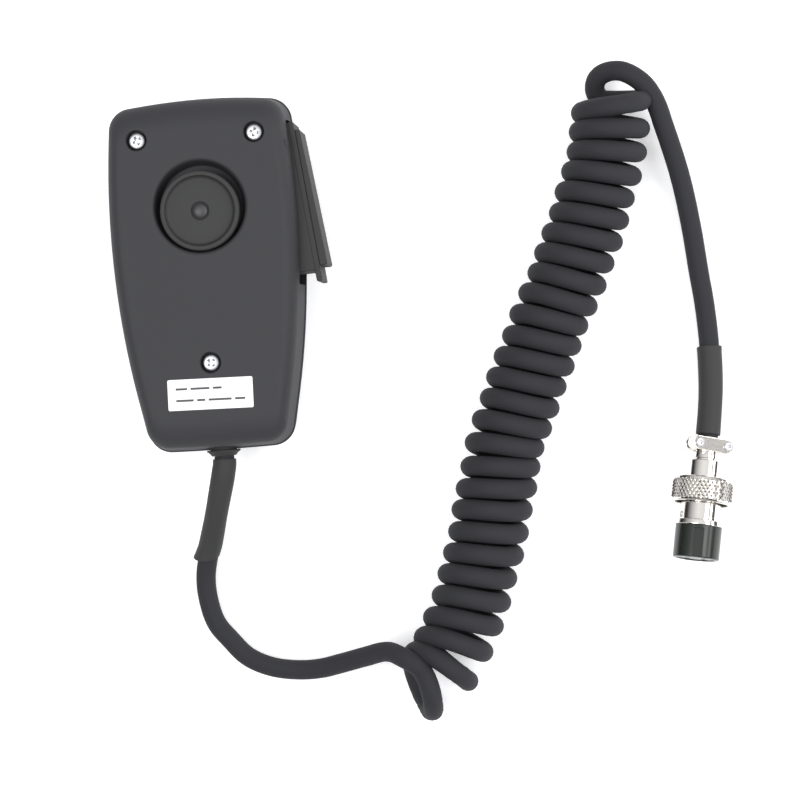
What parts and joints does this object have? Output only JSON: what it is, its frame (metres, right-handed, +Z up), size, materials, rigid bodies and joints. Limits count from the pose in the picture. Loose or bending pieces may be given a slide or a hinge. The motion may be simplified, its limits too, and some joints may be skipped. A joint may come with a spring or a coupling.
{
  "type": "hand microphone",
  "caption": "Push-to-talk hand microphone with screwed two-shell housing, hang button, side lever, curly cord and a screw-locking four-pole plug.",
  "frame": {"origin": "on the surface that the handset lies on, front face down, under the middle of the handset's box with its push-to-talk grip; the cord and plug are left out", "axes": "+Y along the handset towards its head, +X towards the push-to-talk side, +Z up out of the rear cover"},
  "size_m": [0.1807, 0.1944, 0.0368],
  "materials": {
    "housing_plastic": "satin moulded ABS",
    "button_plastic": "satin moulded ABS",
    "lever_plastic": "satin moulded ABS",
    "bright_nickel": "polished nickel plate",
    "dark_screw": "black oxide, glossy",
    "label_paper": "white coated sticker",
    "grille_felt": "black felt",
    "soft_rubber": "matte",
    "bright_steel": "zinc plate",
    "switch_plastic": "moulded",
    "plunger_plastic": "moulded nylon",
    "contact_brass": "tinned brass",
    "wire_pvc": "extruded PVC",
    "cord_jacket": "satin PVC jacket",
    "shrink_tube": "satin shrink tube",
    "barrel_resin": "glossy black resin"
  },
  "bodies": {
    "root": {"front_shell": "housing_plastic", "rear_cover": "housing_plastic", "housing_screws": "bright_nickel", "hang_button": "button_plastic", "hang_button_screw": "dark_screw", "rear_label": "label_paper", "grille_cloth": "grille_felt", "capsule_boot": "soft_rubber", "microphone_capsule": "bright_steel", "capsule_retainer": "bright_steel", "retainer_screws": "bright_steel", "ptt_pivot_pin": "bright_steel", "ptt_return_spring": "bright_steel", "switch_body": "switch_plastic", "switch_terminals": "contact_brass", "switch_screws": "bright_steel", "cord_clamp": "bright_steel", "cord_clamp_screws": "bright_steel", "inner_wires": "wire_pvc", "cord_gland": "soft_rubber", "cord_entry": "cord_jacket", "cord_lead": "cord_jacket", "handset_sleeve": "shrink_tube", "cord_curl": "cord_jacket", "cord_tail": "cord_jacket", "plug_sleeve": "shrink_tube", "plug_rear_shell": "bright_nickel", "plug_clamp_bar": "bright_nickel", "plug_clamp_screws": "bright_nickel", "plug_front_shell": "bright_nickel", "plug_set_screw": "bright_nickel", "plug_insulator": "barrel_resin", "plug_contacts": "contact_brass"},
    "ptt": {"ptt_lever": "lever_plastic", "ptt_grip_plate": "lever_plastic"},
    "plunger": {"switch_plunger": "plunger_plastic"},
    "lock_ring": {"lock_ring": "bright_nickel"}
  },
  "joints": [
    {"name": "ptt_press", "type": "hinge", "parent": "root", "child": "ptt", "pos_m": [0.02085, 0.036, 0.0195], "axis": [0, 0, -1], "range_deg": [0, 4], "stiffness_Nm_per_rad": 0.8, "springref_deg": -3.44, "deforming": ["ptt_return_spring"]},
    {"name": "plunger_slide", "type": "slide", "parent": "root", "child": "plunger", "axis": [-1, 0, 0], "range_m": [0, 0.0024]},
    {"name": "ring_spin", "type": "hinge", "parent": "root", "child": "lock_ring", "pos_m": [0.13808, -0.07499, 0.00962], "axis": [-0.172, -0.9752, 0.1392], "continuous": true}
  ],
  "couplings": [
    {"joint": "plunger_slide", "follows": "ptt_press", "m_per_rad": 0.033}
  ]
}
